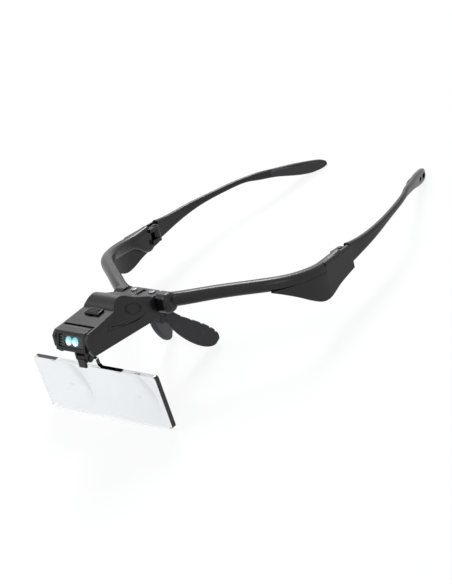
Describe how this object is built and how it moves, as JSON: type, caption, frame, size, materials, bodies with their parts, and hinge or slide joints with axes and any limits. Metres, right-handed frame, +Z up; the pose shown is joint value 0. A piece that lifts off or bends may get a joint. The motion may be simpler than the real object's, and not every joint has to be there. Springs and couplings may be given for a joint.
{
  "type": "lighted magnifier glasses",
  "caption": "Head-worn magnifier: spectacle frame with folding arms, rubber nose saddle, forward lamp housing with tilting light and a clear tilting lens plate.",
  "frame": {"origin": "middle of the bounding box at table level; the glasses lie on the lens plate and the two temple tips", "axes": "+X towards the wearer's left, +Y from the lens towards the temple tips, +Z up"},
  "size_m": [0.1526, 0.2436, 0.0591],
  "materials": {
    "body": "black moulded plastic, satin",
    "saddle": "soft matt rubber",
    "pad": "soft matt rubber",
    "lens": "clear polished acrylic",
    "led": "clear epoxy",
    "steel": "bright zinc plate",
    "pin": "plain",
    "brass": "plain sheet",
    "cell": "nickel plate",
    "board": "coated laminate",
    "reflector": "bright plastic"
  },
  "bodies": {
    "frame": {"brow_frame": "body", "side_piece_left": "body", "side_piece_right": "body", "side_screws": "pin", "nose_bracket": "body", "nose_saddle": "saddle", "nose_screw": "pin", "lamp_dock": "body", "dock_screws": "steel", "housing_top": "body", "housing_base": "body", "housing_screws": "pin", "button_cell_1": "cell", "button_cell_2": "cell", "button_cell_3": "cell", "contact_plate": "brass", "contact_leaf": "brass", "switch_body": "body", "circuit_board": "board", "contact_strip_left": "brass", "contact_strip_right": "brass", "hinge_pins": "pin", "head_axles": "pin", "holder_pin": "pin"},
    "arm_left": {"temple_left": "body", "temple_pad_left": "pad"},
    "arm_right": {"temple_right": "body", "temple_pad_right": "pad"},
    "light": {"lamp_head": "body", "reflector": "reflector", "led_board": "board", "led_left": "led", "led_right": "led"},
    "holder": {"lens_holder": "body"},
    "lens": {"lens_plate": "lens"},
    "switch": {"switch_slider": "body"},
    "cover": {"battery_cover": "body"}
  },
  "joints": [
    {"name": "temple_fold_left", "type": "hinge", "parent": "frame", "child": "arm_left", "pos_m": [0.07, 0.01162, 0.02266], "axis": [0, 0.1928, 0.9812], "range_deg": [0, 90]},
    {"name": "temple_fold_right", "type": "hinge", "parent": "frame", "child": "arm_right", "pos_m": [-0.07, 0.01162, 0.02266], "axis": [0, 0.1928, 0.9812], "range_deg": [-90, 0]},
    {"name": "lens_tilt", "type": "hinge", "parent": "frame", "child": "holder", "pos_m": [0, -0.1154, 0.03957], "axis": [1, 0, 0], "range_deg": [-60, 5]},
    {"name": "lens_release", "type": "slide", "parent": "holder", "child": "lens", "axis": [0, -0.0736, -0.9973], "range_m": [0, 0.0034]},
    {"name": "head_tilt", "type": "hinge", "parent": "frame", "child": "light", "pos_m": [0, -0.11362, 0.05073], "axis": [1, 0, 0], "range_deg": [-15, 10]},
    {"name": "switch_slide", "type": "slide", "parent": "frame", "child": "switch", "axis": [0, -0.9993, 0.037], "range_m": [0, 0.0025]},
    {"name": "battery_cover_slide", "type": "slide", "parent": "frame", "child": "cover", "axis": [0, 0.9812, -0.1928], "range_m": [0, 0.012]}
  ]
}
